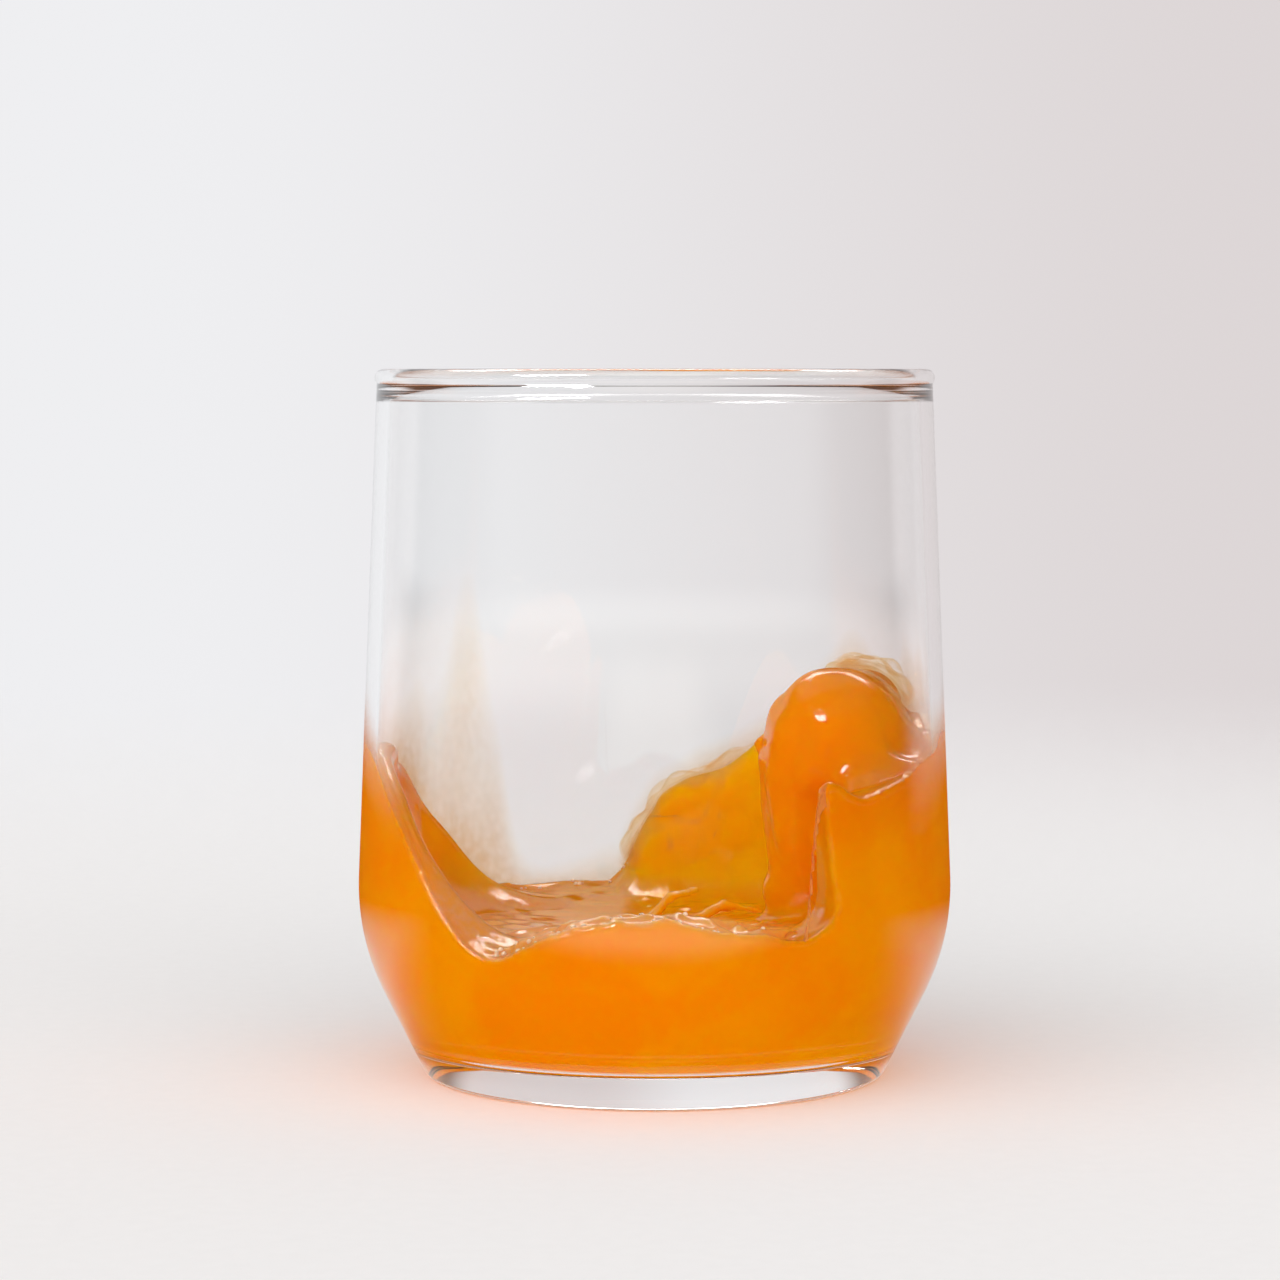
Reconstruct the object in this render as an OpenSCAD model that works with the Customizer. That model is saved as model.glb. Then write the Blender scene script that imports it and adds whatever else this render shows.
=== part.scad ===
/* A stemless glass with orange juice that has surged up its right and left walls.
   Millimetres, +Z up, origin at the middle of the foot, +X to the side of the tall wave, -Y to the front. */

/* [Glass] */
// Height from the foot to the top of the rim
glass_h = 100; // [85:1:130]
// Outer radius of the wall at the rim
rim_r = 39.2; // [35:0.1:46]
// Outer radius where the lines of the wall and the bevel would meet
shoulder_r = 42.4; // [39:0.1:50]
// Height where those lines would meet
shoulder_z = 19.6; // [16:0.1:26]
// Radius of the rounding at the shoulder
shoulder_round = 34; // [20:1:40]
// Outer radius of the foot
foot_r = 32.6; // [28:0.1:38]
// Thickness of the wall
wall = 1.9; // [1.2:0.1:2.4]
// Diameter of the polished bead at the rim
bead_d = 2.6; // [2.5:0.1:4]

/* [Base] */
// Height of the inner floor above the table
floor_z = 5.4; // [3:0.1:12]
// Radius of the rounding between the floor and the wall
floor_round = 7; // [3:0.5:10]
// Radius of the rounding at the edge of the foot
foot_round = 1.4; // [0.5:0.1:2.5]
// Width of the flat ring that stands on the table
ring_w = 3.4; // [2:0.1:6]
// Depth of the hollow under the base
hollow_depth = 1; // [0.4:0.1:2.5]

/* [Juice] */
// Height of the calm surface above the inner floor
juice_depth = 16.8; // [8:0.1:30]
// Height that the tall wave rises above the calm surface
wave_h = 37.5; // [10:0.5:50]
// How far the crest of the wave leans over its foot, as a share of the glass's radius
wave_lean = 0.26; // [0:0.01:0.3]
// Height that the swell on the left wall rises above the calm surface
swell_h = 24; // [4:0.5:40]
// Height of the ripples on the calm surface
ripple_h = 0.9; // [0:0.1:2]
// Clearance between the juice and the wall
juice_gap = 0.05; // [0.02:0.01:0.2]

/* [Hidden] */
// Segments round the axis of the glass, and cuts round the juice
$fn = 128;
juice_sides = 96;
// Steps of the juice's surface from the axis to the wall, and of its side up the wall
surface_steps = 30;
side_steps = 7;
// Points on each rounding of the outline, and on the bead
round_steps = 16;
bead_steps = 24;
// Slope at the edge of the hollow under the base, as run over rise
hollow_slope = 2;
calm_z = floor_z + juice_depth;

// ---- helpers ----
function unit(v) = v / norm(v);
function smooth(x) = let (c = min(1, max(0, x))) c * c * (3 - 2 * c);
// Angle a less angle b, in degrees, from -180 to 180
function turn(a, b) = (a - b + 540) % 360 - 180;
// A bell of height 1 over (cx, cy), that falls to 1/e at the distance w
function bell(x, y, cx, cy, w) = exp(-((x - cx) * (x - cx) + (y - cy) * (y - cy)) / (w * w));
// Where two lines meet, each given as a point and a direction
function meet(p, d, q, e) = p + d * ((q - p) * [e.y, -e.x]) / (d * [e.y, -e.x]);
function arc(centre, r, from, sweep, steps) =
    [for (i = [0 : steps]) let (t = from + sweep * i / steps) centre + r * [cos(t), sin(t)]];

// The points of a rounding of radius r at corner p, between the lines from a and to b
function rounding(a, p, b, r) =
    let (u = unit(a - p), v = unit(b - p), half = acos(u * v) / 2,
         centre = p + unit(u + v) * r / sin(half),
         start = p + u * r / tan(half) - centre,
         finish = p + v * r / tan(half) - centre,
         from = atan2(start.y, start.x))
    arc(centre, r, from, turn(atan2(finish.y, finish.x), from), round_steps);

// ---- outline of the glass ----
// Direction up the wall and up the bevel, and the outward normal of each
wall_dir = unit([rim_r, glass_h] - [shoulder_r, shoulder_z]);
bevel_dir = unit([shoulder_r, shoulder_z] - [foot_r, 0]);
wall_normal = [wall_dir.y, -wall_dir.x];
bevel_normal = [bevel_dir.y, -bevel_dir.x];

outer_foot = [foot_r, 0];
outer_shoulder = [shoulder_r, shoulder_z];
bead_centre = [rim_r - wall / 2, glass_h - bead_d / 2];
inner_rim = bead_centre - wall_normal * wall / 2;
inner_shoulder = meet(inner_rim, wall_dir, outer_foot - wall * bevel_normal, bevel_dir);
inner_floor = meet(inner_shoulder, bevel_dir, [0, floor_z], [1, 0]);
ring_inner_r = foot_r - foot_round - ring_w;

// The bead, from where it leaves the inner face of the wall to where it meets the outer face
bead_side = acos(wall / bead_d);
bead_turn = atan2(wall_normal.y, wall_normal.x);
bead = arc(bead_centre, bead_d / 2, bead_turn + 180 + bead_side, -180 - 2 * bead_side, bead_steps);

// The inside of the glass, from the axis out along the floor and up the wall
inner_outline = concat(
    [[0, floor_z]],
    rounding([0, floor_z], inner_floor, inner_shoulder, floor_round),
    rounding(inner_floor, inner_shoulder, inner_rim, shoulder_round - wall));

// The outside, down the wall to the ring and in under the base
outer_outline = concat(
    rounding([rim_r, glass_h], outer_shoulder, outer_foot, shoulder_round),
    rounding(outer_shoulder, outer_foot, [0, 0], foot_round),
    [[ring_inner_r, 0],
     [ring_inner_r - hollow_slope * hollow_depth, hollow_depth],
     [0, hollow_depth]]);

module glass() {
    color([0.9, 0.93, 0.94, 0.35])
    rotate_extrude() polygon(concat(inner_outline, bead, outer_outline));
}

// ---- surface of the juice ----
// Radius of the juice where it meets the wall at height z
wall_table = [for (p = concat(inner_outline, [inner_rim])) if (p.x > 0) [p.y, p.x - juice_gap]];
function wall_r(z) = lookup(z, wall_table);
floor_flat_r = wall_table[0][1];

// Height of the wave's crest round the glass, as a share of wave_h: [angle from +X, share]
crest_line = [[-65, 0], [-55, 0.66], [-40, 0.74], [-20, 0.9], [0, 0.97], [30, 1], [48, 0.84],
              [66, 0.66], [80, 0.5], [92, 0.34], [103, 0]];
// Share of the radius where the middle of the wave's face stands: [angle, share]
face_line = [[-66, 0.92], [-54, 0.78], [-40, 0.6], [-20, 0.48], [5, 0.46], [30, 0.5], [50, 0.62],
             [80, 0.78], [104, 0.88]];
// Half the width of that face, as a share of the radius
face_w = 0.14;
// How much lower the wave is at the wall than at its crest, as a share of its height
wave_droop = 0.13;
// The angle where the wave's front edge rises from the calm surface, and how closely the cuts crowd there
edge_angle = -58;
crowding = 0.6;
// The swell on the left wall: its angle, the half width of its foot and of its top, and where its face stands
swell_angle = 184;
swell_foot = 58;
swell_top = 12;
swell_face = 0.86;
swell_face_w = 0.18;
// The share of the steps from the axis to the foot of the wave's face, and to the top of the face
foot_station = 0.35;
top_station = 0.82;
widest_face = 0.965;

// The wave's height at angle a and share f of the radius, as a share of its crest
function wave_rise(a, f) = smooth((f - lookup(a, face_line) + face_w) / (2 * face_w));
function swell_rise(a, f) =
    smooth((swell_foot - abs(turn(a, swell_angle))) / (swell_foot - swell_top))
    * smooth((f - swell_face + swell_face_w) / (2 * swell_face_w));
function ripples(x, y) =
    ripple_h * (0.6 * sin(13 * x + 5 * y) * cos(11 * y - 4 * x) + 0.4 * sin(21 * y + 9 * x));

// A point of the surface at angle a, from -180 to 180, and share f of the radius
function surface_point(a, f) =
    let (rise = wave_rise(a, f),
         crest = lookup(a, crest_line),
         lean = wave_lean * crest * (2 * rise - 1) * 4 * rise * (1 - rise),
         leant = max(0, f - lean),
         x = f * shoulder_r * cos(a),
         y = f * shoulder_r * sin(a),
         face = lookup(a, face_line),
         droop = wave_droop * smooth((f - face) / (1 - face)),
         z = calm_z + wave_h * crest * rise * (1 - droop) + swell_h * swell_rise(a, f)
             + 4.2 * bell(x, y, -2, -40, 17) - 2 * bell(x, y, -8, 8, 22)
             - 3 * bell(x, y, -24, -33, 10)
             + (1 - rise) * (1 - pow(f, 6)) * ripples(x, y))
    [leant * wall_r(z) * cos(a), leant * wall_r(z) * sin(a), z];

// The angle of cut i: the cuts crowd at the wave's front edge
function cut_angle(i) =
    let (u = 360 * i / juice_sides)
    turn(edge_angle + u - crowding * sin(u) * 180 / PI, 0);

// The share of the radius of surface step j: the steps crowd on the wave's face
function station(a, j) =
    let (face = lookup(a, face_line))
    lookup(j / surface_steps, [[0, 0], [foot_station, face - face_w],
                               [top_station, min(widest_face, face + face_w)], [1, 1]]);

// One cut through the juice at angle a: up the wall from the floor, then in along the surface
function juice_cut(a) =
    let (top = surface_point(a, 1).z)
    concat(
        [for (i = [0 : side_steps])
            let (z = floor_z + (top - floor_z) * pow(i / side_steps, 1.6),
                 r = i == 0 ? floor_flat_r : wall_r(z))
            [r * cos(a), r * sin(a), z]],
        [for (j = [surface_steps - 1 : -1 : 1]) surface_point(a, station(a, j))]);

module juice() {
    cuts = [for (i = [0 : juice_sides - 1]) juice_cut(cut_angle(i))];
    n = len(cuts[0]);
    low_pole = juice_sides * n;
    high_pole = low_pole + 1;
    points = concat([for (c = cuts) each c], [[0, 0, floor_z], surface_point(0, 0)]);
    function at(i, j) = (i % juice_sides) * n + j;
    faces = concat(
        [for (i = [0 : juice_sides - 1]) [low_pole, at(i, 0), at(i + 1, 0)]],
        [for (i = [0 : juice_sides - 1]) [high_pole, at(i + 1, n - 1), at(i, n - 1)]],
        [for (i = [0 : juice_sides - 1], j = [0 : n - 2])
            each [[at(i, j), at(i, j + 1), at(i + 1, j)],
                  [at(i + 1, j), at(i, j + 1), at(i + 1, j + 1)]]]);
    color([0.95, 0.5, 0.03])
    polyhedron(points, faces);
}

glass();
juice();
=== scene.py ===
"""Looks of the glass of orange juice.

The glass is turned from the part's own sizes. The juice is one body, drawn as a field of distances and
meshed with OpenVDB. Small beads, a thin film on the glass and torn skins on the wave go with it.
Meshes are made in millimetres and turned into metres at the end; materials work in metres. Angles are in
degrees from +X, counterclockwise from above.
"""
import math

import bmesh
import bpy
import numpy as np
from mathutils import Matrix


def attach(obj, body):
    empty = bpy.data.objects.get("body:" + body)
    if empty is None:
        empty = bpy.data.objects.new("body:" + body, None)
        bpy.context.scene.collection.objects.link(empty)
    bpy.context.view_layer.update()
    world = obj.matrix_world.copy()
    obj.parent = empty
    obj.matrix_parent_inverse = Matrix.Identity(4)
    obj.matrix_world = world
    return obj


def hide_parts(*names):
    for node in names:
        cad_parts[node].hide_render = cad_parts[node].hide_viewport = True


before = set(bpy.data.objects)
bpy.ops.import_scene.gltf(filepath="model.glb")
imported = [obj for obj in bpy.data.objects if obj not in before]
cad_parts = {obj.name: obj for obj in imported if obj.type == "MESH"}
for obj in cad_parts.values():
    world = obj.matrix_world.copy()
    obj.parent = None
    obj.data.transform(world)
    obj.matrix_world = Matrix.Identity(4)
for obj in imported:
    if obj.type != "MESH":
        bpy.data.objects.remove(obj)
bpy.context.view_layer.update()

import openvdb

MM = 0.001
scene = bpy.context.scene

# ---- sizes of the glass, as in the part's source ----
GLASS_H = 100.0
RIM_R = 39.2
WALL = 1.9
BEAD_D = 2.6
SHOULDER_R = 42.4
SHOULDER_Z = 19.6
SHOULDER_ROUND = 34.0
FOOT_R = 32.6
FOOT_ROUND = 1.4
RING_W = 3.4
FLOOR_Z = 5.4
FLOOR_ROUND = 7.0
HOLLOW_DEPTH = 1.0
HOLLOW_SLOPE = 2.0
HOLLOW_ROUND = 0.9

# ---- sizes of the juice ----
CALM_Z = 22.2        # the calm pool
JUICE_TOP_Z = 62.0   # the juice and its torn skins stay below this
INNER_R = 39.0       # about the inner wall's radius where the juice climbs it
SINK = 0.2           # how far the juice reaches into the wall

# ---- how finely things are meshed ----
GLASS_SIDES = 320
GLASS_STEP = 2.5
VOXEL = 0.55
SLICES = 16          # layers of the field worked out at a time
FILM_TURN = 0.5      # degrees between the film's columns
FILM_RISE = 0.4      # between its rows


# ======== outline of the glass ========
def unit(v):
    return v / np.linalg.norm(v)


def meet(p, d, q, e):
    """Where the line through p along d meets the line through q along e."""
    normal = np.array([e[1], -e[0]])
    return p + d * ((q - p) @ normal) / (d @ normal)


def rounding(a, p, b, r, steps):
    """The points of an arc of radius r that rounds the corner p between a and b."""
    u, v = unit(a - p), unit(b - p)
    half = math.acos(u @ v) / 2
    centre = p + unit(u + v) * r / math.sin(half)
    start, finish = p + u * r / math.tan(half) - centre, p + v * r / math.tan(half) - centre
    first = math.atan2(start[1], start[0])
    sweep = (math.atan2(finish[1], finish[0]) - first + 3 * math.pi) % (2 * math.pi) - math.pi
    t = first + sweep * np.linspace(0, 1, steps + 1)
    return centre + r * np.column_stack([np.cos(t), np.sin(t)])


def glass_outline():
    """The inside of the glass from the axis up to the rim, and the whole outline."""
    wall_dir = unit(np.array([RIM_R - SHOULDER_R, GLASS_H - SHOULDER_Z]))
    bevel_dir = unit(np.array([SHOULDER_R - FOOT_R, SHOULDER_Z]))
    wall_normal = np.array([wall_dir[1], -wall_dir[0]])
    bevel_normal = np.array([bevel_dir[1], -bevel_dir[0]])
    foot, shoulder = np.array([FOOT_R, 0.0]), np.array([SHOULDER_R, SHOULDER_Z])

    bead_centre = np.array([RIM_R - WALL / 2, GLASS_H - BEAD_D / 2])
    inner_rim = bead_centre - wall_normal * WALL / 2
    inner_shoulder = meet(inner_rim, wall_dir, foot - WALL * bevel_normal, bevel_dir)
    floor_middle = np.array([0, FLOOR_Z])
    inner_floor = meet(inner_shoulder, bevel_dir, floor_middle, np.array([1.0, 0]))
    inside = np.vstack([
        [[0, FLOOR_Z]],
        rounding(floor_middle, inner_floor, inner_shoulder, FLOOR_ROUND, 20),
        rounding(inner_floor, inner_shoulder, inner_rim, SHOULDER_ROUND - WALL, 28),
        [inner_rim]])

    side = math.acos(WALL / BEAD_D)
    turn = math.atan2(wall_normal[1], wall_normal[0])
    t = turn + math.pi + side - (math.pi + 2 * side) * np.linspace(0, 1, 41)
    bead = bead_centre + BEAD_D / 2 * np.column_stack([np.cos(t), np.sin(t)])

    ring_in = np.array([FOOT_R - FOOT_ROUND - RING_W, 0])
    hollow = ring_in + HOLLOW_DEPTH * np.array([-HOLLOW_SLOPE, 1])
    top, middle = np.array([RIM_R, GLASS_H]), np.array([0, HOLLOW_DEPTH])
    outside = np.vstack([
        rounding(top, shoulder, foot, SHOULDER_ROUND, 30),
        rounding(shoulder, foot, ring_in, FOOT_ROUND, 12),
        rounding(foot, ring_in, hollow, HOLLOW_ROUND, 5),
        rounding(ring_in, hollow, middle, HOLLOW_ROUND, 5),
        [middle]])
    return inside, np.vstack([inside[:-1], bead, outside])


def split_long(line, longest):
    out = [line[0]]
    for a, b in zip(line[:-1], line[1:]):
        n = max(1, math.ceil(np.linalg.norm(b - a) / longest))
        out += [a + (b - a) * k / n for k in range(1, n + 1)]
    return np.array(out)


INSIDE, OUTLINE = glass_outline()


def wall_r(z):
    """Radius of the inner wall at height z."""
    return np.interp(z, INSIDE[1:, 1], INSIDE[1:, 0])


# ======== meshes ========
def make_object(name, points, faces, material, amount=None):
    """A piece that rides with the glass; amount is a value for each point that its material reads."""
    mesh = bpy.data.meshes.new(name)
    mesh.from_pydata((np.asarray(points) * MM).tolist(), [], [list(map(int, f)) for f in faces])
    mesh.materials.append(material)
    mesh.validate()
    mesh.shade_smooth()
    obj = bpy.data.objects.new(name, mesh)
    scene.collection.objects.link(obj)
    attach(obj, "root")
    if amount is not None:
        values = mesh.attributes.new("amount", "FLOAT", "POINT")
        values.data.foreach_set("value", amount.astype(np.float32))
    print("%s: %d faces" % (name, len(faces)))
    return obj


def face_out(obj):
    bm = bmesh.new()
    bm.from_mesh(obj.data)
    bmesh.ops.recalc_face_normals(bm, faces=bm.faces)
    bm.to_mesh(obj.data)
    bm.free()


def revolve(line, sides):
    """A closed mesh from an outline that starts and ends on the axis."""
    ring = line[1:-1]
    n = len(ring)
    a = np.linspace(0, 2 * math.pi, sides, endpoint=False)
    points = np.empty((sides, n, 3))
    points[..., 0] = ring[:, 0] * np.cos(a)[:, None]
    points[..., 1] = ring[:, 0] * np.sin(a)[:, None]
    points[..., 2] = ring[:, 1]
    points = np.vstack([points.reshape(-1, 3), [[0, 0, line[0][1]]], [[0, 0, line[-1][1]]]])
    i, j = np.meshgrid(np.arange(sides), np.arange(n - 1), indexing="ij")
    k = (i + 1) % sides
    quads = np.stack([i * n + j, k * n + j, k * n + j + 1, i * n + j + 1], -1).reshape(-1, 4).tolist()
    caps = []
    for s in range(sides):
        e = (s + 1) % sides
        caps.append([sides * n, e * n, s * n])
        caps.append([sides * n + 1, s * n + n - 1, e * n + n - 1])
    return points, quads + caps


def close_up(quads, total):
    """Faces of an outer skin, an inner skin and the strip that joins them along their edge."""
    edges = {}
    for quad in quads.tolist():
        for k in range(4):
            start, end = quad[k], quad[(k + 1) % 4]
            if (end, start) in edges:
                del edges[(end, start)]
            else:
                edges[(start, end)] = True
    sides = [[b, a, a + total, b + total] for a, b in edges]
    return quads.tolist() + (quads[:, ::-1] + total).tolist() + sides


def only_used(points, faces, amount):
    """The points that the faces use, the faces renumbered, and the amount at each point."""
    used = np.unique(np.array([v for f in faces for v in f]))
    new = np.full(len(points), -1)
    new[used] = np.arange(len(used))
    return points[used], [[int(new[v]) for v in f] for f in faces], amount[used]


# ======== materials ========
class Nodes:
    """Short ways to write a node tree."""

    def __init__(self, tree):
        self.tree = tree
        tree.nodes.clear()

    def add(self, kind, inputs=None, **settings):
        node = self.tree.nodes.new(kind)
        for key, value in settings.items():
            setattr(node, key, value)
        for key, value in (inputs or {}).items():
            self.put(node.inputs[key], value)
        return node

    def put(self, socket, value):
        if isinstance(value, bpy.types.NodeSocket):
            self.tree.links.new(value, socket)
        else:
            socket.default_value = value

    def math(self, operation, a, b=0.0):
        return self.add("ShaderNodeMath", {0: a, 1: b}, operation=operation).outputs[0]

    def times(self, first, *others):
        for other in others:
            first = self.math("MULTIPLY", first, other)
        return first

    def plus(self, first, *others):
        for other in others:
            first = self.math("ADD", first, other)
        return first

    def rest_of(self, share):
        return self.math("SUBTRACT", 1.0, share)

    def split(self, vector):
        return tuple(self.add("ShaderNodeSeparateXYZ", {0: vector}).outputs)

    def ramp(self, value, low, high, to_low=0.0, to_high=1.0):
        """A smooth climb from to_low, at low, to to_high, at high; low may be more than high."""
        node = self.add("ShaderNodeMapRange", {"Value": value, "From Min": low, "From Max": high,
                                               "To Min": to_low, "To Max": to_high},
                        interpolation_type="SMOOTHSTEP")
        return node.outputs["Result"]

    def mix(self, factor, a, b):
        node = self.add("ShaderNodeMix", data_type="RGBA")
        for i, value in ((0, factor), (6, a), (7, b)):
            self.put(node.inputs[i], value)
        return node.outputs[2]

    def mix_value(self, factor, a, b):
        node = self.add("ShaderNodeMix", data_type="FLOAT")
        for i, value in ((0, factor), (2, a), (3, b)):
            self.put(node.inputs[i], value)
        return node.outputs[0]

    def mix_shader(self, factor, a, b):
        return self.add("ShaderNodeMixShader", {0: factor, 1: a.outputs[0], 2: b.outputs[0]})

    def scaled(self, vector, factor):
        node = self.add("ShaderNodeVectorMath", {0: vector, "Scale": factor}, operation="SCALE")
        return node.outputs["Vector"]

    def noise(self, vector, scale, detail=2.0, roughness=0.5, distortion=0.0):
        node = self.add("ShaderNodeTexNoise", {"Vector": vector, "Scale": scale, "Detail": detail,
                                               "Roughness": roughness, "Distortion": distortion})
        return node.outputs["Fac"]

    def bump(self, height, strength, distance):
        node = self.add("ShaderNodeBump", {"Height": height, "Strength": strength, "Distance": distance})
        return node.outputs[0]

    def facing(self):
        """0 where a surface is seen square on, 1 where it is seen edge-on."""
        return self.add("ShaderNodeLayerWeight", {"Blend": 0.5}).outputs["Facing"]

    def amount(self):
        """The value that the mesh carries at each point."""
        return self.add("ShaderNodeAttribute", attribute_name="amount").outputs["Fac"]

    def after(self, ray, kind, count):
        """1 for light that has met more than count surfaces of a kind on its way, else 0."""
        return self.math("GREATER_THAN", ray.outputs[kind + " Depth"], count + 0.5)

    def surface(self, shader, output="ShaderNodeOutputMaterial"):
        self.put(self.add(output).inputs["Surface"], shader.outputs[0])


def new_material(name):
    material = bpy.data.materials.new(name)
    material.use_nodes = True
    nodes = Nodes(material.node_tree)
    where = nodes.add("ShaderNodeTexCoord").outputs["Object"]
    return material, nodes, where


def glass_material():
    material, nodes, where = new_material("clear_glass")
    # a very slight green-grey body, cloudier in some places than others
    tint = nodes.mix(nodes.noise(where, 30.0, 1.0), (1.0, 1.0, 1.0, 1.0), (0.992, 0.998, 0.996, 1.0))
    nodes.surface(nodes.add("ShaderNodeBsdfPrincipled", {
        "Base Color": tint, "Roughness": 0.0, "IOR": 1.5, "Transmission Weight": 1.0}))
    return material


def juice_material():
    material, nodes, where = new_material("orange_juice")
    x, y, z = nodes.split(where)
    _, _, up = nodes.split(nodes.add("ShaderNodeNewGeometry").outputs["Normal"])
    facing = nodes.facing()
    cloud = nodes.noise(where, 55.0, 3.0, 0.55, 0.6)
    fine = nodes.noise(where, 900.0, 2.0, 0.6)

    # what is thrown up the back is full of fine air: yellower and duller
    most_airy = 0.22
    airy = nodes.times(nodes.ramp(y, 0.010, 0.026, 0.0, most_airy), nodes.ramp(z, 0.021, 0.025))
    # the lobe is thick and clear of the glass, so its colour is deeper
    lobe = nodes.times(nodes.ramp(z, 0.034, 0.042), nodes.ramp(y, 0.014, 0.006),
                       nodes.ramp(x, 0.010, 0.013), nodes.ramp(x, 0.038, 0.034))
    # the strip along the near side of the pool is paler where it faces up: partly churned froth, partly a
    # painted sheen that stands in for the pale reflection off its ripples
    churned_and_sheen = nodes.times(nodes.ramp(y, -0.018, -0.028), nodes.ramp(x, 0.016, -0.004),
                          nodes.ramp(up, 0.1, 0.5), nodes.ramp(z, 0.032, 0.029),
                          nodes.ramp(fine, 0.3, 0.7, 0.4, 0.85))
    colour = nodes.mix(nodes.ramp(cloud, 0.35, 0.68), (1.0, 0.31, 0.0, 1.0), (1.0, 0.38, 0.0, 1.0))
    colour = nodes.mix(nodes.ramp(fine, 0.55, 0.9, 0.0, 0.25), colour, (1.0, 0.43, 0.002, 1.0))
    colour = nodes.mix(nodes.times(airy, 3.0), colour, (1.0, 0.50, 0.0, 1.0))
    colour = nodes.mix(nodes.times(lobe, 0.7), colour, (1.0, 0.265, 0.0, 1.0))
    colour = nodes.mix(churned_and_sheen, colour, (1.0, 0.42, 0.14, 1.0))

    # towards the wave the gloss is held back where the surface is seen edge-on, as pulp breaks it up
    dull = nodes.times(nodes.ramp(facing, 0.6, 0.9, 0.0, 0.75), nodes.ramp(x, 0.0, 0.008))
    gloss = nodes.times(nodes.ramp(airy, 0.0, most_airy, 0.5, 0.06), nodes.rest_of(dull))
    body = nodes.add("ShaderNodeBsdfPrincipled", {
        "Base Color": colour, "IOR": 1.33, "Specular IOR Level": gloss,
        "Roughness": nodes.plus(nodes.ramp(cloud, 0.3, 0.7, 0.03, 0.07), airy),
        "Subsurface Weight": 1.0, "Subsurface Radius": (0.62, 0.36, 0.06), "Subsurface Scale": 0.004,
        "Normal": nodes.bump(nodes.noise(where, 260.0, 2.0), 0.12, 0.0006)})

    # under the juice, light that runs along inside the thick glass base is wholly turned back
    mirror = nodes.add("ShaderNodeBsdfGlossy", {"Roughness": 0.0, "Color": (0.97, 0.97, 0.97, 1)})
    under = nodes.times(nodes.ramp(facing, 0.5, 0.62), nodes.ramp(up, -0.35, -0.6))
    nodes.surface(nodes.mix_shader(under, body, mirror))
    return material


def froth_material():
    material, nodes, where = new_material("juice_froth")
    cloud = nodes.noise(where, 300.0, 2.0)
    nodes.surface(nodes.add("ShaderNodeBsdfPrincipled", {
        "Base Color": nodes.mix(cloud, (1.0, 0.62, 0.34, 1), (1.0, 0.84, 0.66, 1)),
        "Roughness": 0.06, "IOR": 1.33, "Specular IOR Level": 0.7}))
    return material


def film_material():
    material, nodes, where = new_material("juice_film")
    grain = nodes.noise(where, 700.0, 3.0)
    amount = nodes.times(nodes.amount(), nodes.ramp(grain, 0.2, 0.7, 0.85, 1.05))
    # thin juice is a pale tan to look through, thick juice is orange
    tint = nodes.add("ShaderNodeValToRGB", {"Fac": amount})
    stops = tint.color_ramp.elements
    stops[0].position, stops[0].color = 0.0, (1, 1, 1, 1)
    stops[1].position, stops[1].color = 1.0, (0.96, 0.50, 0.06, 1)
    for at, colour in ((0.3, (0.98, 0.93, 0.86, 1)), (0.65, (0.97, 0.80, 0.52, 1))):
        stops.new(at).color = colour
    clear = nodes.add("ShaderNodeBsdfTransparent", {"Color": tint.outputs["Color"]})
    body = nodes.add("ShaderNodeBsdfPrincipled", {
        "Base Color": nodes.mix(amount, (1.0, 0.62, 0.30, 1), (1.0, 0.36, 0.02, 1)),
        "Roughness": 0.15, "IOR": 1.33,
        "Normal": nodes.bump(nodes.noise(where, 400.0), 0.2, 0.0004)})
    nodes.surface(nodes.mix_shader(nodes.ramp(amount, 0.05, 1.0, 0.0, 0.55), clear, body))
    return material


def veil_material():
    material, nodes, where = new_material("juice_veil")
    facing = nodes.facing()
    # it thins out towards its rim, so the wave ends softly
    soft = nodes.times(nodes.ramp(facing, 0.98, 0.7), nodes.ramp(facing, 0.12, 0.6))
    grain = nodes.ramp(nodes.noise(where, 500.0, 3.0), 0.25, 0.65, 0.5, 1.0)
    amount = nodes.times(nodes.amount(), soft, grain)
    clear = nodes.add("ShaderNodeBsdfTransparent", {
        "Color": nodes.mix(amount, (1, 1, 1, 1), (0.98, 0.90, 0.70, 1))})
    body = nodes.add("ShaderNodeBsdfPrincipled", {
        "Base Color": (1.0, 0.60, 0.22, 1), "Roughness": 0.4, "IOR": 1.33,
        "Normal": nodes.bump(nodes.noise(where, 400.0), 0.3, 0.0004)})
    nodes.surface(nodes.mix_shader(nodes.times(amount, 0.22), clear, body))
    return material


# ======== tools for the juice's field of distances ========
def smin(a, b, k):
    """The less of two fields, blended over k."""
    h = np.clip(0.5 + 0.5 * (b - a) / k, 0, 1)
    return b * (1 - h) + a * h - k * h * (1 - h)


def smax(a, b, k):
    return -smin(-a, -b, k)


def step(x):
    x = np.clip(x, 0, 1)
    return x * x * (3 - 2 * x)


def bell(x, y, cx, cy, width):
    return np.exp(-((x - cx) ** 2 + (y - cy) ** 2) / width ** 2)


def capsule(x, y, z, a, b, ra, rb):
    """Distance from a rod between a and b, ra thick at a and rb at b."""
    a, b = np.array(a, float), np.array(b, float)
    d = b - a
    t = np.clip(((x - a[0]) * d[0] + (y - a[1]) * d[1] + (z - a[2]) * d[2]) / (d @ d), 0, 1)
    away = np.sqrt((x - a[0] - t * d[0]) ** 2 + (y - a[1] - t * d[1]) ** 2 + (z - a[2] - t * d[2]) ** 2)
    return away - (ra + (rb - ra) * t)


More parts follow.
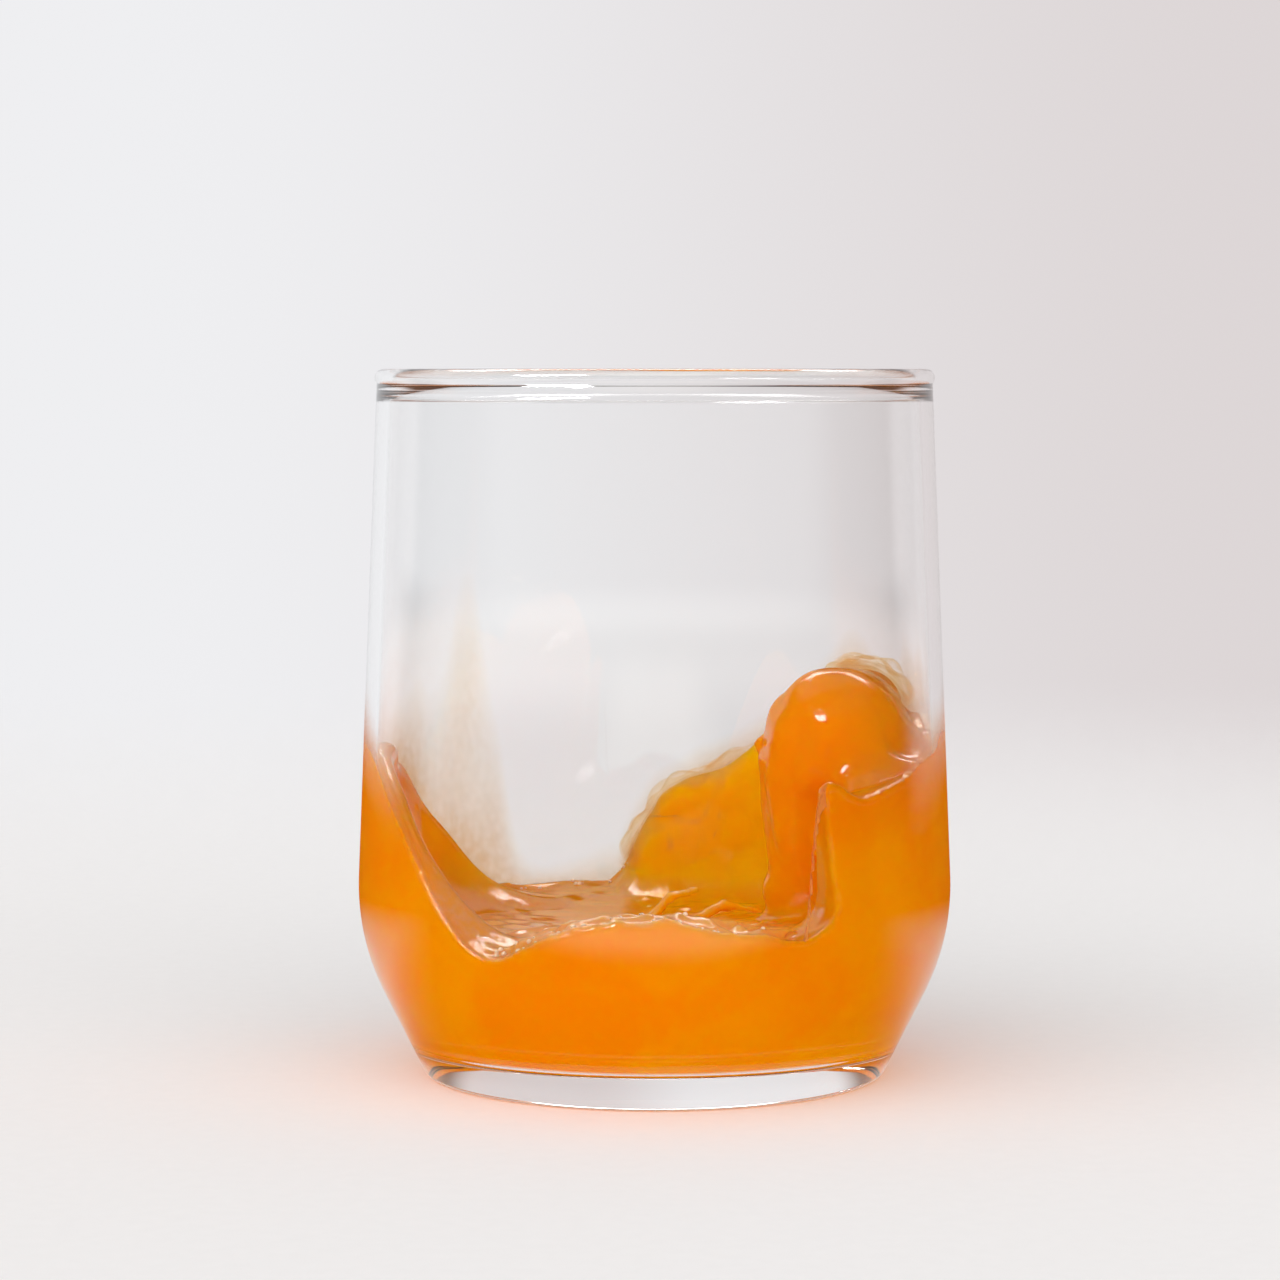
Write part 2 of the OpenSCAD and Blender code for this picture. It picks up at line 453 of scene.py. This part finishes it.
class Around:
    """A smooth function of the angle round the axis, through [angle, value] pairs."""
    TURN = 0.5     # degrees between its samples
    REACH = 20     # samples on each side that are blurred together

    def __init__(self, pairs, blur):
        self.angles = np.arange(-180, 180, self.TURN)
        angle, value = np.array(pairs, float).T
        order = np.argsort(angle)
        values = np.interp(self.angles, angle[order], value[order], period=360)
        kernel = np.exp(-0.5 * (np.arange(-self.REACH, self.REACH + 1) * self.TURN / blur) ** 2)
        padded = np.concatenate([values[-self.REACH:], values, values[:self.REACH]])
        self.values = np.convolve(padded, kernel / kernel.sum(), "valid")
        wrapped = np.concatenate([self.values[-1:], self.values, self.values[:1]])
        self.slopes = np.gradient(wrapped, self.TURN)[1:-1]

    def __call__(self, angle):
        return np.interp(angle, self.angles, self.values, period=360)

    def square_to_edge(self, height, angle):
        """A height over this function as a distance square to its slope."""
        slope = np.degrees(np.interp(angle, self.angles, self.slopes, period=360)) / INNER_R
        return height / np.sqrt(1 + slope ** 2)


class Lattice:
    """Smooth noise between -1 and 1 that is the same on each run."""
    CELLS = 32         # it repeats after so many cells
    SHIFT = 100.37     # keeps the axis off a corner of a cell

    def __init__(self, seed):
        shape = (self.CELLS, self.CELLS, self.CELLS)
        self.values = np.random.default_rng(seed).uniform(-1, 1, shape).astype(np.float32)

    def __call__(self, x, y, z, size):
        last = self.CELLS - 1
        parts = []
        for c in (x, y, z):
            c = np.asarray(c, np.float32) / size + self.SHIFT
            cell = np.floor(c)
            parts.append((cell.astype(np.int32) & last, step(c - cell)))
        (i, u), (j, v), (k, w) = parts
        i1, j1, k1 = (i + 1) & last, (j + 1) & last, (k + 1) & last

        def layer(k):
            g = self.values
            near = g[i, j, k] * (1 - u) + g[i1, j, k] * u
            far = g[i, j1, k] * (1 - u) + g[i1, j1, k] * u
            return near * (1 - v) + far * v
        return layer(k) * (1 - w) + layer(k1) * w


SLOW, QUICK = Lattice(11), Lattice(12)


# ======== the juice ========
# height where the wave meets the wall, by the angle, and how thick it stands there
WAVE_TOP = Around([
    [-120, 12], [-75, 19], [-60.5, 21], [-59, 33], [-57.5, 44.5], [-53, 44.5], [-47, 41.5], [-40, 42.5],
    [-32, 44], [-26, 46], [-18, 47], [-10, 50], [0, 49], [10, 51], [22, 50], [34, 53], [43, 54],
    [52, 49], [60, 45.5], [66, 43.5], [72, 40.5], [76, 39], [82, 38], [87, 36.5], [90, 34.5], [93, 31],
    [96.5, 26], [99, 20], [104, 16], [130, 12]], blur=1.2)
WAVE_THICK = Around([
    [-66, 2], [-57, 2.6], [-51, 4.5], [-45, 6.5], [-30, 9.5], [-15, 14], [0, 16], [15, 15], [30, 11],
    [45, 7.5], [60, 6.5], [75, 6], [90, 5], [100, 3], [180, 3]], blur=4.0)
# height where the swell on the left meets the wall
SWELL_TOP = Around([
    [100, 12], [122, 19], [138, 25], [152, 35], [168, 44], [184, 48], [198, 46], [212, 38],
    [224, 28], [236, 20], [260, 12]], blur=3.0)
# how far a film of juice climbs the glass above the juice's edge
FILM_REACH = Around([
    [-180, 5], [-150, 3], [-120, 2], [-90, 0.6], [-62, 0.8], [-50, 1.5], [-40, 2], [-30, 3], [-22, 5],
    [-16, 6], [-11, 1.5], [-6, 3], [0, 7], [8, 9], [20, 9], [30, 7], [45, 6], [60, 4], [70, 4], [90, 5],
    [102, 6], [112, 4], [123, 4], [128, 30], [136, 36], [146, 30], [158, 12], [170, 6]], blur=3.0)

# rods: two ends and the radius at each
LOBE = ((25.5, -7, 48.4), (26.6, 4, 48.2), 9.9, 9.3)
LOBE_CROWN = ((29, -3, 50.2), (30.2, 3, 50.6), 6.4, 6.0)
LOBE_FOOT = ((23.4, -6, 44), (23.0, -2, 28), 8.0, 7.4)
LOBE_GROOVE = ((13.8, -16, 51), (21, -18.5, 56), 1.0, 1.5)
DROP = ((15.2, -5, 47.2), (15.8, -5, 47.0), 1.2, 1.4)
# larger crests that stand up from the pool, with how softly each joins it
TALL_CRESTS = [
    ((-0.5, -25, 25.6), (2.2, -24, 28.2), 0.8, 0.55, 1.4),
    ((2.2, -24, 28.2), (5.8, -22, 28.8), 0.55, 0.4, 1.0),
    ((6, -22, 25.0), (9.5, -19, 26.4), 0.8, 0.6, 1.6),
    ((9.5, -19, 26.4), (14.5, -18.5, 25.4), 0.6, 0.5, 1.4),
    ((-2, -14, 22.8), (4, -11, 24.0), 0.7, 0.5, 1.8),
    ((-20, -20, 21.6), (-15, -16, 22.6), 0.7, 0.6, 1.8)]


def pool_level(x, y):
    """Height of the pool before its chop."""
    return (CALM_Z + 4.3 * bell(x, y, -2, -40, 18) - 2.2 * bell(x, y, -8, 8, 22)
            - 3.2 * bell(x, y, -24, -33, 10) + 4.2 * bell(x, y, 27, -30, 5.5))


def small_crests():
    """Rods along the near side of the pool, each rising towards one end."""
    rng = np.random.default_rng(8)
    crests = []
    for along in np.linspace(-121, -57, 22):
        angle = np.radians(along + rng.uniform(-2, 2))
        r = rng.choice([36.5, 34, 31, 27]) + rng.uniform(-1, 1)
        middle = np.array([r * np.cos(angle), r * np.sin(angle)])
        turn = angle + np.pi / 2 + rng.uniform(-0.5, 0.5)
        half = rng.uniform(1.2, 2.8) * np.array([np.cos(turn), np.sin(turn)])
        ends = [middle - half, middle + half]
        rises = (rng.uniform(0.1, 0.7), rng.uniform(0.6, 1.5))
        start, end = [(*e, pool_level(*e) + rise) for e, rise in zip(ends, rises)]
        crests.append((start, end, rng.uniform(0.5, 0.8), 0.4, 1.3))
    return crests


CRESTS = small_crests() + TALL_CRESTS


def pool_field(x, y, z, depth):
    """The pool, with its chop and the rim that it draws up on the glass."""
    chop = 0.45 + 1.1 * bell(x, y, 6, -28, 17) + 0.5 * bell(x, y, 16, -4, 12)
    ridges = 1 - 2 * np.abs(SLOW(x + 0.3 * y, y, 0 * x, 5.5))
    level = pool_level(x, y)
    level = level + chop * (0.55 * ridges + 0.5 * QUICK(x, y, 0 * x, 3.1) + 0.5 * SLOW(x, y, 0 * x, 11.0))
    level = level + 0.7 * np.exp(-np.clip(depth, 0, None) / 1.2)
    return (z - level) * 0.8


def wave_field(x, y, z, angle, depth):
    """The wave against the right wall and the back, with the lobe that curls off it."""
    leant = angle + 0.4 * np.clip(z - 45, -27, 6) * step(-angle / 30)
    crest = WAVE_TOP(leant) + 1.2 * SLOW(x, y, 0 * x, 9.0)
    over = WAVE_TOP.square_to_edge(z - crest, leant)
    rise = step((z - 36) / 20)
    reach = WAVE_THICK(angle) * (1 + 0.15 * rise) + 11 * np.exp(-(z - 20) / 4.5)
    wave = smax(over, depth - reach, 5.0)
    lobe = smin(capsule(x, y, z, *LOBE), capsule(x, y, z, *LOBE_CROWN), 1.6)
    lobe = smin(lobe, capsule(x, y, z, *LOBE_FOOT), 2.5)
    lobe = smax(lobe, -capsule(x, y, z, *LOBE_GROOVE), 2.0)
    wave = smin(wave, lobe, 3.5)
    folds = 1 - 2 * np.abs(SLOW(x + 0.5 * z, y, z - 0.4 * x, 7.5))
    return wave + 0.5 * SLOW(x, y, z, 9.0) + 0.55 * (folds - 0.5) + 0.25 * QUICK(x, y, z, 3.6)


def swell_field(x, y, z, angle, depth):
    """The swell up the left wall."""
    over = SWELL_TOP.square_to_edge(z - SWELL_TOP(angle) - 1.0 * QUICK(x, y, 0 * x, 6.0), angle)
    reach = 2.2 + 13 * np.exp(-(z - 18) / 7.5) + 0.5 * SLOW(x, y, z, 7.0)
    return smax(over, depth - reach, 2.5)


def juice_field(x, y, z):
    """Signed distance, about, of the juice's free surface: less than 0 in the juice."""
    r = np.sqrt(x * x + y * y)
    angle = np.degrees(np.arctan2(y, x))
    depth = wall_r(z) - r
    field = smin(pool_field(x, y, z, depth), wave_field(x, y, z, angle, depth), 3.0)
    for *rod, softness in CRESTS:
        field = smin(field, capsule(x, y, z, *rod) + 0.3 * QUICK(x, y, z, 2.2), softness)
    field = smin(field, swell_field(x, y, z, angle, depth), 3.0)
    return smin(field, capsule(x, y, z, *DROP), 0.6)


def cavity_distance(r, z):
    """Distance past the inside of the glass, less than 0 within it, on a table of r by z."""
    line = split_long(INSIDE, 1.0)
    p = np.stack(np.broadcast_arrays(r[:, None], z[None, :]), -1)
    best = np.full(p.shape[:2], 1e9)
    for start, end in zip(line[:-1], line[1:]):
        d = end - start
        t = np.clip(((p - start) @ d) / (d @ d), 0, 1)
        best = np.minimum(best, np.linalg.norm(p - start - t[..., None] * d, axis=-1))
    within = (p[..., 1] > FLOOR_Z) & (p[..., 0] < wall_r(p[..., 1]))
    return np.where(within, -best, best)


def relax(points, faces, rounds=4):
    """Smooths out the steps of the grid without shrinking the shape."""
    edges = np.vstack([np.sort(np.stack([faces[:, i], faces[:, (i + 1) % 4]], -1), -1) for i in range(4)])
    edges = np.unique(edges, axis=0)
    count = np.bincount(edges.ravel(), minlength=len(points))[:, None]
    for factor in (0.5, -0.52) * rounds:
        total = np.zeros_like(points)
        for c in range(3):
            total[:, c] = np.bincount(edges[:, 0], points[edges[:, 1], c], len(points)) \
                + np.bincount(edges[:, 1], points[edges[:, 0], c], len(points))
        points = points + factor * (total / count - points)
    return points


def juice_mesh():
    low, high = np.array([-41.5, -41.5, FLOOR_Z - 1.5]), np.array([41.5, 41.5, JUICE_TOP_Z + 1])
    axes = [np.arange(a, b, VOXEL, dtype=np.float32) for a, b in zip(low, high)]
    x, y = np.meshgrid(axes[0], axes[1], indexing="ij")
    r = np.hypot(x, y)
    radii = np.arange(0, 60, 0.2)
    table = cavity_distance(radii, axes[2])
    field = np.empty((len(axes[0]), len(axes[1]), len(axes[2])), np.float32)
    for k in range(0, len(axes[2]), SLICES):
        zs = axes[2][k:k + SLICES]
        free = juice_field(x[..., None] + 0 * zs, y[..., None] + 0 * zs, zs + 0 * x[..., None])
        cavity = np.stack([np.interp(r, radii, table[:, k + i]) for i in range(len(zs))], -1)
        field[..., k:k + SLICES] = smax(free, cavity - SINK, 0.5)
    grid = openvdb.FloatGrid(10.0)
    grid.copyFromArray(field)
    points, quads = grid.convertToQuads(isovalue=0.0)
    faces = np.asarray(quads)
    return relax(np.asarray(points, float) * VOXEL + low, faces), faces


# ======== what goes with the juice ========
def ball_mesh(rounds):
    """A ball of radius 1, from a 20-sided one whose faces are cut in four so many times."""
    t = (1 + 5 ** 0.5) / 2
    ball = np.array([[-1, t, 0], [1, t, 0], [-1, -t, 0], [1, -t, 0], [0, -1, t], [0, 1, t],
                     [0, -1, -t], [0, 1, -t], [t, 0, -1], [t, 0, 1], [-t, 0, -1], [-t, 0, 1]])
    ball /= np.linalg.norm(ball[0])
    tris = [(0, 11, 5), (0, 5, 1), (0, 1, 7), (0, 7, 10), (0, 10, 11), (1, 5, 9), (5, 11, 4), (11, 10, 2),
            (10, 7, 6), (7, 1, 8), (3, 9, 4), (3, 4, 2), (3, 2, 6), (3, 6, 8), (3, 8, 9), (4, 9, 5),
            (2, 4, 11), (6, 2, 10), (8, 6, 7), (9, 8, 1)]
    for _ in range(rounds):
        ball, finer, seen = list(ball), [], {}

        def half(i, j):
            key = (min(i, j), max(i, j))
            if key not in seen:
                middle = ball[i] + ball[j]
                ball.append(middle / np.linalg.norm(middle))
                seen[key] = len(ball) - 1
            return seen[key]
        for a, b, c in tris:
            ab, bc, ca = half(a, b), half(b, c), half(c, a)
            finer += [(a, ab, ca), (ab, b, bc), (ca, bc, c), (ab, bc, ca)]
        ball, tris = np.array(ball), finer
    return ball, tris


def froth_mesh(juice_points):
    """Beads along the edge of the pool: many small balls in one mesh."""
    rng = np.random.default_rng(5)
    ball, tris = ball_mesh(2)
    # each ball is half sunk in the juice: its middle is one of the juice's own points
    x, y, z = juice_points.T
    angles, inward = np.degrees(np.arctan2(y, x)), wall_r(z) - np.hypot(x, y)
    points, faces = [], []
    for low, high, count, biggest, reach in ((-124, -96, 26, 0.42, 3.5), (-96, -62, 14, 0.36, 3.5),
                                             (96, 138, 16, 0.40, 2.5)):
        near = (angles > low) & (angles < high) & (inward > 0.6) & (inward < reach) & (z > 18) & (z < 34)
        spots = juice_points[near]
        for middle in spots[rng.integers(0, len(spots), count)]:
            radius = rng.uniform(0.28, 1.0) ** 1.5 * biggest
            faces += [[i + len(points) * len(ball) for i in f] for f in tris]
            points.append(ball * radius + middle)
    return np.vstack(points), faces


def contact_height(angle):
    """About how high the juice stands against the wall."""
    x, y = INNER_R * np.cos(np.radians(angle)), INNER_R * np.sin(np.radians(angle))
    return np.maximum(pool_level(x, y), np.maximum(WAVE_TOP(angle), SWELL_TOP(angle)))


def film_mesh():
    """The film left on the glass: a sheet on the inner wall, from below the juice's edge to its own."""
    a, z = np.meshgrid(np.arange(-180, 180, FILM_TURN), np.arange(16.0, 84.0, FILM_RISE), indexing="ij")
    cos_a, sin_a = np.cos(np.radians(a)), np.sin(np.radians(a))
    x, y = INNER_R * cos_a, INNER_R * sin_a
    noise, streaks = Lattice(31), Lattice(32)
    start = contact_height(a) - 1.0
    reach = FILM_REACH(a) * (1 + 0.35 * streaks(x, y, z / 9, 4.5) + 0.35 * noise(x, y, z / 3, 7.0))
    share = np.clip((z - start) / np.maximum(reach + 1.0, 0.5), -1, 2)
    amount = 0.6 * np.clip(1 - share, 0, 1) ** 1.2 * np.clip(0.8 + 0.3 * noise(x, y, z / 4, 6.0), 0, 1)
    amount = np.where(share < 0, 0.7, amount)
    amount[z < start - 2.0] = 0

    r_out = wall_r(z) + 0.03
    r_in = wall_r(z) - 0.04 - 0.22 * amount
    outer, inner = [np.stack([r * cos_a, r * sin_a, z], -1).reshape(-1, 3) for r in (r_out, r_in)]
    columns, rows = a.shape
    i, j = np.meshgrid(np.arange(columns), np.arange(rows - 1), indexing="ij")
    i2 = (i + 1) % columns
    keep = amount > 0.02
    use = keep[i, j] | keep[i2, j] | keep[i, j + 1] | keep[i2, j + 1]
    quads = np.stack([i * rows + j, i2 * rows + j, i2 * rows + j + 1, i * rows + j + 1], -1)[use]
    return only_used(np.vstack([outer, inner]), close_up(quads, columns * rows),
                     np.concatenate([amount.ravel(), amount.ravel()]))


def outward_normals(points, faces):
    """Normals at the points of a closed quad mesh, and its faces turned to match them."""
    normals = np.zeros_like(points)
    turn = np.cross(points[faces[:, 2]] - points[faces[:, 0]], points[faces[:, 3]] - points[faces[:, 1]])
    for k in range(4):
        for c in range(3):
            normals[:, c] += np.bincount(faces[:, k], turn[:, c], len(points))
    normals /= np.maximum(np.linalg.norm(normals, axis=1, keepdims=True), 1e-9)
    if (normals * (points - points.mean(0))).sum() < 0:
        return -normals, faces[:, ::-1]
    return normals, faces


def veil_mesh(juice_points, juice_faces, height, seed):
    """A thin skin of torn juice that stands off the edges of the wave."""
    normals, faces = outward_normals(juice_points, juice_faces)
    x, y, z = juice_points.T
    angle, r = np.degrees(np.arctan2(y, x)), np.hypot(x, y)
    free = step((wall_r(z) - r - 0.3) / 1.2)
    back = step((angle - 64) / 8) * step((112 - angle) / 8) * step((z - 23.5) / 4)
    peak = step((x - 23) / 5) * step((z - 50.5) / 3) * step((y + 12) / 6)
    mask = free * np.maximum(back, peak)
    noise, streaks = Lattice(seed), Lattice(seed + 1)
    torn = np.clip(0.75 + 0.45 * noise(x, y, z, 2.6) + 0.4 * streaks(x, y, z, 6.0), 0.15, 1.5)

    # it stays inside the glass and below the juice's highest point
    outer = juice_points + normals * (mask * height * torn)[:, None]
    outer[:, 2] = np.minimum(outer[:, 2], JUICE_TOP_Z)
    limit = wall_r(outer[:, 2]) - 0.15
    far = np.hypot(outer[:, 0], outer[:, 1])
    outer[:, :2] *= np.minimum(1, limit / np.maximum(far, 1e-6))[:, None]
    inner = juice_points - normals * 0.25
    amount = mask * np.clip(0.75 + 0.3 * noise(x, y, z, 4.0), 0, 1)
    quads = faces[(mask[faces] > 0.06).all(axis=1)]
    return only_used(np.vstack([outer, inner]), close_up(quads, len(juice_points)),
                     np.concatenate([amount, amount]))


# ======== the pieces ========
glass_points, glass_faces = revolve(split_long(OUTLINE, GLASS_STEP), GLASS_SIDES)
glass = make_object("tumbler", glass_points, glass_faces, glass_material())
face_out(glass)
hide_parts("glass")

juice_points, juice_faces = juice_mesh()
juice = make_object("orange_juice", juice_points, juice_faces, juice_material())
face_out(juice)
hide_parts("juice")

froth_points, froth_faces = froth_mesh(juice_points)
make_object("juice_froth", froth_points, froth_faces, froth_material())

film_points, film_faces, film_amount = film_mesh()
make_object("juice_film", film_points, film_faces, film_material(), film_amount)

torn_skin = veil_material()
for number, (height, seed) in enumerate(((0.8, 41), (1.6, 43), (2.5, 45)), 1):
    veil_points, veil_faces, veil_amount = veil_mesh(juice_points, juice_faces, height, seed)
    make_object("juice_veil_%d" % number, veil_points, veil_faces, torn_skin, veil_amount)


# ======== floor, light and camera ========
def floor_material():
    material, nodes, where = new_material("pale_floor")
    x, y, _ = nodes.split(where)
    far = nodes.math("SQRT", nodes.plus(nodes.times(x, x), nodes.times(y, y)))
    ray = nodes.add("ShaderNodeLightPath")
    scattered = nodes.after(ray, "Diffuse", 0)
    turned = nodes.times(nodes.after(ray, "Glossy", 0), nodes.rest_of(scattered))
    plain = nodes.add("ShaderNodeBsdfDiffuse", {
        "Color": nodes.mix(nodes.noise(where, 400.0, 3.0), (0.86, 0.845, 0.84, 1), (0.89, 0.875, 0.87, 1))})

    # for rays that the glass turns back the floor glows with painted reflections: close behind the glass the
    # plain table, a painted bright patch before it, and else a painted dark table, with a painted orange
    # glow behind the glass for the juice's light on it; under the foot a painted white
    beside = nodes.times(nodes.ramp(far, 0.19, 0.07), nodes.ramp(y, -0.02, 0.03))
    painted_patch = nodes.times(nodes.ramp(y, -0.075, -0.12), nodes.ramp(y, -0.36, -0.22),
                        nodes.ramp(nodes.math("ABSOLUTE", x), 0.15, 0.04))
    mirrored = nodes.mix(nodes.ramp(y, -0.05, 0.03), (0.02, 0.012, 0.004, 1), (0.62, 0.17, 0.006, 1))
    mirrored = nodes.mix(painted_patch, mirrored, (1.25, 1.1, 0.95, 1))
    mirrored = nodes.mix(nodes.ramp(far, 0.037, 0.034), mirrored, (0.86, 0.80, 0.78, 1))
    mirrored = nodes.add("ShaderNodeEmission", {"Color": mirrored})
    table = nodes.mix_shader(nodes.times(turned, nodes.rest_of(beside)), plain, mirrored)

    # the table lights the juice from below
    glow = nodes.add("ShaderNodeEmission", {"Color": (1.0, 0.84, 0.75, 1), "Strength": 1.4})
    table = nodes.mix_shader(scattered, table, glow)

    # far off it fades into the backdrop, point by point
    mirrored_fade = nodes.mix_value(nodes.ramp(y, 0.05, -0.05), nodes.ramp(far, 0.42, 0.75),
                                    nodes.ramp(far, 0.9, 1.3))
    fade = nodes.mix_value(turned, nodes.ramp(far, 0.12, 0.75), mirrored_fade)
    dots = nodes.add("ShaderNodeTexWhiteNoise", {"Vector": nodes.scaled(where, 9173.0)}).outputs["Value"]
    clear = nodes.add("ShaderNodeBsdfTransparent")
    nodes.surface(nodes.mix_shader(nodes.math("GREATER_THAN", fade, dots), table, clear))
    return material


def make_floor():
    half = 2
    mesh = bpy.data.meshes.new("floor")
    mesh.from_pydata([(-half, -half, 0), (half, -half, 0), (half, half, 0), (-half, half, 0)], [],
                     [(0, 1, 2, 3)])
    mesh.materials.append(floor_material())
    floor = bpy.data.objects.new("floor", mesh)
    floor.location.z = -0.00005  # just clear of the foot
    scene.collection.objects.link(floor)


# where the three small soft boxes are, and the broad key light
BOXES = ((-0.715, -0.455, 0.531), (-0.600, -0.55, 0.590), (-0.480, -0.60, 0.640))
KEY = (-0.25, -0.96, 0.10)


def make_world():
    world = bpy.data.worlds.new("studio")
    scene.world = world
    world.use_nodes = True
    world.cycles.sampling_method = "NONE"
    nodes = Nodes(world.node_tree)
    ray = nodes.add("ShaderNodeLightPath")
    direction = nodes.add("ShaderNodeTexCoord").outputs["Generated"]
    dx, dy, dz = nodes.split(direction)

    def towards(place, low, high):
        dot = nodes.add("ShaderNodeVectorMath", {0: direction, 1: tuple(unit(np.array(place, float)))},
                        operation="DOT_PRODUCT")
        return nodes.ramp(dot.outputs["Value"], low, high)

    # the backdrop, with a painted fall-off of light from its pale left to its darker right; through the
    # glass a band of it is painted brighter where the front wall has no pale card to mirror
    across = nodes.ramp(dx, -0.14, 0.17)
    backdrop = nodes.mix(across, (0.862, 0.862, 0.880, 1), (0.722, 0.672, 0.675, 1))
    brighter = nodes.mix(across, (0.99, 0.99, 1.0, 1), (0.84, 0.79, 0.79, 1))
    gap = nodes.times(nodes.after(ray, "Transmission", 0),
                      nodes.ramp(dz, -0.054, -0.066), nodes.ramp(dz, -0.100, -0.076))
    seen = nodes.mix(gap, backdrop, brighter)

    # what is mirrored: a dark room in front, with a pale card at the height that the empty upper wall
    # mirrors, and the backdrop behind
    above = nodes.plus(nodes.times(dy, 0.022), nodes.plus(dz, 0.010))
    level = nodes.times(nodes.ramp(above, -0.003, 0.012), nodes.ramp(dz, 0.12, 0.09))
    card = nodes.mix(nodes.ramp(dy, -0.5, -0.1), (1.35, 1.35, 1.37, 1), backdrop)
    room = nodes.mix(level, (0.02, 0.015, 0.012, 1), card)
    mirrored = nodes.mix(nodes.ramp(dy, 0.4, 0.65), room, backdrop)
    # what the juice mirrors has gone through a wall of the glass and back out: it is pale orange low
    # down on the left, deep orange on the right, and dark to the sides
    inner = nodes.after(ray, "Transmission", 2)
    mirrored = nodes.mix(nodes.times(inner, nodes.ramp(dy, 0.75, 0.6)), mirrored, (0.04, 0.03, 0.025, 1))
    low = nodes.times(nodes.ramp(dz, 0.06, 0.10), nodes.ramp(dz, 0.45, 0.3), nodes.ramp(dy, 0.7, 0.9), inner)
    oranges = nodes.mix(nodes.ramp(dx, -0.015, 0.015), (1.0, 0.74, 0.52, 1), (0.36, 0.07, 0.005, 1))
    mirrored = nodes.mix(low, mirrored, oranges)
    # darkness beside the glass, the ceiling, a strip light over the back and the soft boxes
    aside = nodes.times(nodes.ramp(dz, 0.08, 0.14), nodes.ramp(dz, 0.6, 0.45), nodes.ramp(dy, 0.8, 0.6))
    mirrored = nodes.mix(aside, mirrored, (0.06, 0.045, 0.04, 1))
    ceiling = nodes.mix(nodes.ramp(dy, 0.0, 0.3), (0.16, 0.15, 0.15, 1), (0.85, 0.84, 0.84, 1))
    mirrored = nodes.mix(nodes.ramp(dz, 0.55, 0.75), mirrored, ceiling)
    strip = nodes.times(nodes.ramp(dz, 0.62, 0.68), nodes.ramp(dz, 0.81, 0.75),
                        nodes.ramp(nodes.math("ABSOLUTE", dx), 0.5, 0.4), nodes.ramp(dy, 0.08, 0.25))
    mirrored = nodes.mix(strip, mirrored, (11.0, 10.9, 10.8, 1))
    boxes = nodes.plus(*[towards(place, 0.9930, 0.9950) for place in BOXES])
    mirrored = nodes.mix(boxes, mirrored, (50, 50, 50, 1))

    # what lights the scene: white all round, with a broad key from the front left
    lit = nodes.mix(towards(KEY, -0.1, 1.0), (0.50, 0.50, 0.51, 1), (3.05, 3.02, 3.0, 1))
    lit = nodes.mix(nodes.ramp(dz, 0.35, 0.95), lit, (0.72, 0.72, 0.72, 1))

    shade = nodes.mix(nodes.after(ray, "Glossy", 0), seen, mirrored)
    shade = nodes.mix(nodes.after(ray, "Diffuse", 0), shade, lit)
    nodes.surface(nodes.add("ShaderNodeBackground", {"Color": shade, "Strength": 1.0}),
                  "ShaderNodeOutputWorld")


def make_camera(place, down, turn):
    """A level camera, tipped down and turned by so many degrees."""
    data = bpy.data.cameras.new("camera")
    data.lens = 110.76
    data.sensor_width = 36
    data.clip_start = 0.01
    camera = bpy.data.objects.new("camera", data)
    scene.collection.objects.link(camera)
    camera.location = place
    camera.rotation_euler = (math.radians(90 - down), 0, math.radians(turn))
    scene.camera = camera


make_floor()
make_world()
make_camera((0.0, -0.558, 0.100), down=3.94, turn=0.212)

scene.view_settings.view_transform = "Standard"
scene.view_settings.look = "None"
scene.cycles.use_denoising = True
scene.cycles.max_bounces = 24
scene.cycles.transmission_bounces = 20
scene.cycles.diffuse_bounces = 5
scene.cycles.glossy_bounces = 6
scene.cycles.transparent_max_bounces = 24
scene.cycles.sample_clamp_indirect = 0
